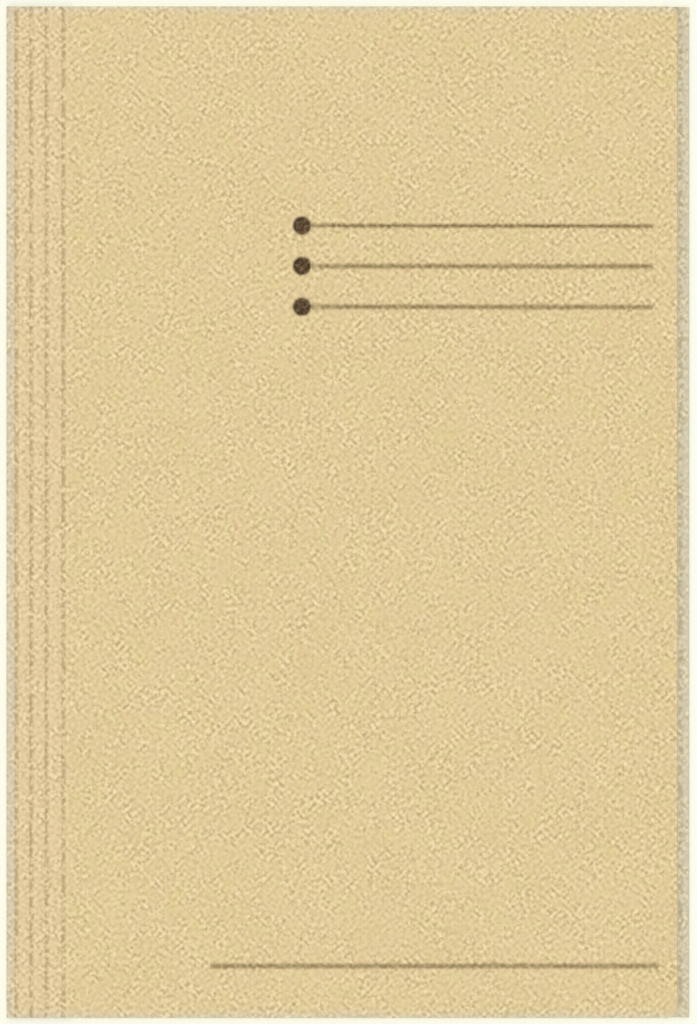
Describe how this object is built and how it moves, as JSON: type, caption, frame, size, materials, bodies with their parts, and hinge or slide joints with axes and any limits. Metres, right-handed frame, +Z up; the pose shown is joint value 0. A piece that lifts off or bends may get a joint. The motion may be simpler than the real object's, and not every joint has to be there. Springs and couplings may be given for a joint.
{
  "type": "file folder",
  "caption": "Closed manila card file folder with a scored, expanding spine, a printed front cover and inner flaps folded in.",
  "frame": {"origin": "middle of the closed folder, on the surface that it lies on", "axes": "+X from the spine to the free edge, +Y up the page, +Z up out of the front cover"},
  "size_m": [0.2346, 0.348, 0.0018],
  "materials": {
    "manila_card": "uncoated, matt, finely mottled with light and dark fibres"
  },
  "bodies": {
    "back_cover": {"back_cover": "manila_card", "back_spine_strip_4": "manila_card"},
    "side_flap": {"side_flap": "manila_card"},
    "top_flap": {"top_flap": "manila_card"},
    "bottom_flap": {"bottom_flap": "manila_card"},
    "back_spine_strip_3": {"back_spine_strip_3": "manila_card"},
    "back_spine_strip_2": {"back_spine_strip_2": "manila_card"},
    "back_spine_strip_1": {"back_spine_strip_1": "manila_card"},
    "spine_fold": {"spine_fold": "manila_card"},
    "front_spine_strip_4": {"front_spine_strip_4": "manila_card"},
    "front_spine_strip_3": {"front_spine_strip_3": "manila_card"},
    "front_spine_strip_2": {"front_spine_strip_2": "manila_card"},
    "front_spine_strip_1": {"front_spine_strip_1": "manila_card"},
    "front_cover": {"front_cover": "manila_card"}
  },
  "joints": [
    {"name": "spine_expansion", "type": "slide", "parent": "back_cover", "child": "front_spine_strip_4", "axis": [0, 0, 1], "range_m": [0, 0.01194]},
    {"name": "cover_opening", "type": "hinge", "parent": "front_spine_strip_4", "child": "front_cover", "pos_m": [-0.09785, 0, 0.00195], "axis": [0, -1, 0], "range_deg": [0, 179]},
    {"name": "back_score_3", "type": "hinge", "parent": "back_cover", "child": "back_spine_strip_3", "pos_m": [-0.10365, 0, 0.0004], "axis": [0, 1, 0], "range_deg": [0, 15]},
    {"name": "back_score_2", "type": "hinge", "parent": "back_spine_strip_3", "child": "back_spine_strip_2", "pos_m": [-0.10895, 0, 0.0004], "axis": [0, 1, 0], "range_deg": [0, 15]},
    {"name": "back_score_1", "type": "hinge", "parent": "back_spine_strip_2", "child": "back_spine_strip_1", "pos_m": [-0.11405, 0, 0.0004], "axis": [0, 1, 0], "range_deg": [0, 15]},
    {"name": "spine_fold_turn", "type": "hinge", "parent": "back_spine_strip_1", "child": "spine_fold", "pos_m": [-0.11695, 0, 0.0004], "axis": [0, -1, 0], "range_deg": [0, 45]},
    {"name": "front_score_3", "type": "hinge", "parent": "front_spine_strip_4", "child": "front_spine_strip_3", "pos_m": [-0.10365, 0, 0.0014], "axis": [0, -1, 0], "range_deg": [0, 15]},
    {"name": "front_score_2", "type": "hinge", "parent": "front_spine_strip_3", "child": "front_spine_strip_2", "pos_m": [-0.10895, 0, 0.0014], "axis": [0, -1, 0], "range_deg": [0, 15]},
    {"name": "front_score_1", "type": "hinge", "parent": "front_spine_strip_2", "child": "front_spine_strip_1", "pos_m": [-0.11405, 0, 0.0014], "axis": [0, -1, 0], "range_deg": [0, 15]},
    {"name": "side_flap_fold", "type": "hinge", "parent": "back_cover", "child": "side_flap", "pos_m": [0.1175, 0, 0.00055], "axis": [0, 1, 0], "range_deg": [0, 179]},
    {"name": "top_flap_fold", "type": "hinge", "parent": "back_cover", "child": "top_flap", "pos_m": [0, 0.17415, 0.00055], "axis": [-1, 0, 0], "range_deg": [0, 179]},
    {"name": "bottom_flap_fold", "type": "hinge", "parent": "back_cover", "child": "bottom_flap", "pos_m": [0, -0.17415, 0.00055], "axis": [1, 0, 0], "range_deg": [0, 179]}
  ],
  "couplings": [
    {"joint": "back_score_3", "follows": "spine_expansion", "rad_per_m": 21.926},
    {"joint": "back_score_2", "follows": "spine_expansion", "rad_per_m": 21.926},
    {"joint": "back_score_1", "follows": "spine_expansion", "rad_per_m": 21.926},
    {"joint": "spine_fold_turn", "follows": "spine_expansion", "rad_per_m": 65.778},
    {"joint": "front_score_3", "follows": "spine_expansion", "rad_per_m": 21.926},
    {"joint": "front_score_2", "follows": "spine_expansion", "rad_per_m": 21.926},
    {"joint": "front_score_1", "follows": "spine_expansion", "rad_per_m": 21.926},
    {"joint": "side_flap_fold", "follows": "cover_opening", "ratio": 1},
    {"joint": "top_flap_fold", "follows": "cover_opening", "ratio": 1},
    {"joint": "bottom_flap_fold", "follows": "cover_opening", "ratio": 1}
  ]
}
